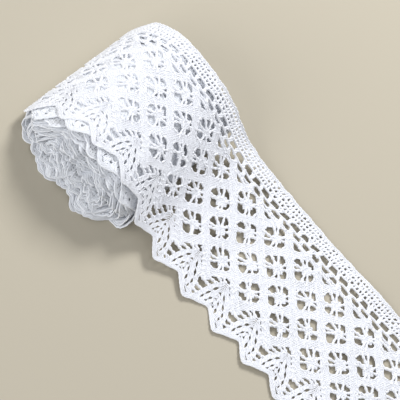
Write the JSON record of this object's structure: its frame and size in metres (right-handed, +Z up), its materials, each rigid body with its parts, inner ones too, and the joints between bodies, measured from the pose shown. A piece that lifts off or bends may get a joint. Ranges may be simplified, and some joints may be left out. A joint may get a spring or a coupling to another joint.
{
  "type": "roll of lace trim",
  "caption": "Flattened roll of wide white cotton bobbin lace with a scalloped edge, its loose end run out flat for measuring and cutting.",
  "frame": {"origin": "on the surface it rests on, under the middle of the bounding box", "axes": "+Z up; +X along the strip, from the roll towards the loose end; -Y towards the scalloped edge, +Y towards the straight heading"},
  "size_m": [0.2574, 0.1032, 0.0335],
  "materials": {
    "lace": "matt bleached cotton bobbin lace, open work",
    "inner_turns": "matt bleached cotton lace, wound in many layers"
  },
  "bodies": {
    "root": {"wound_roll": "inner_turns", "loose_end": "lace"}
  },
  "joints": []
}
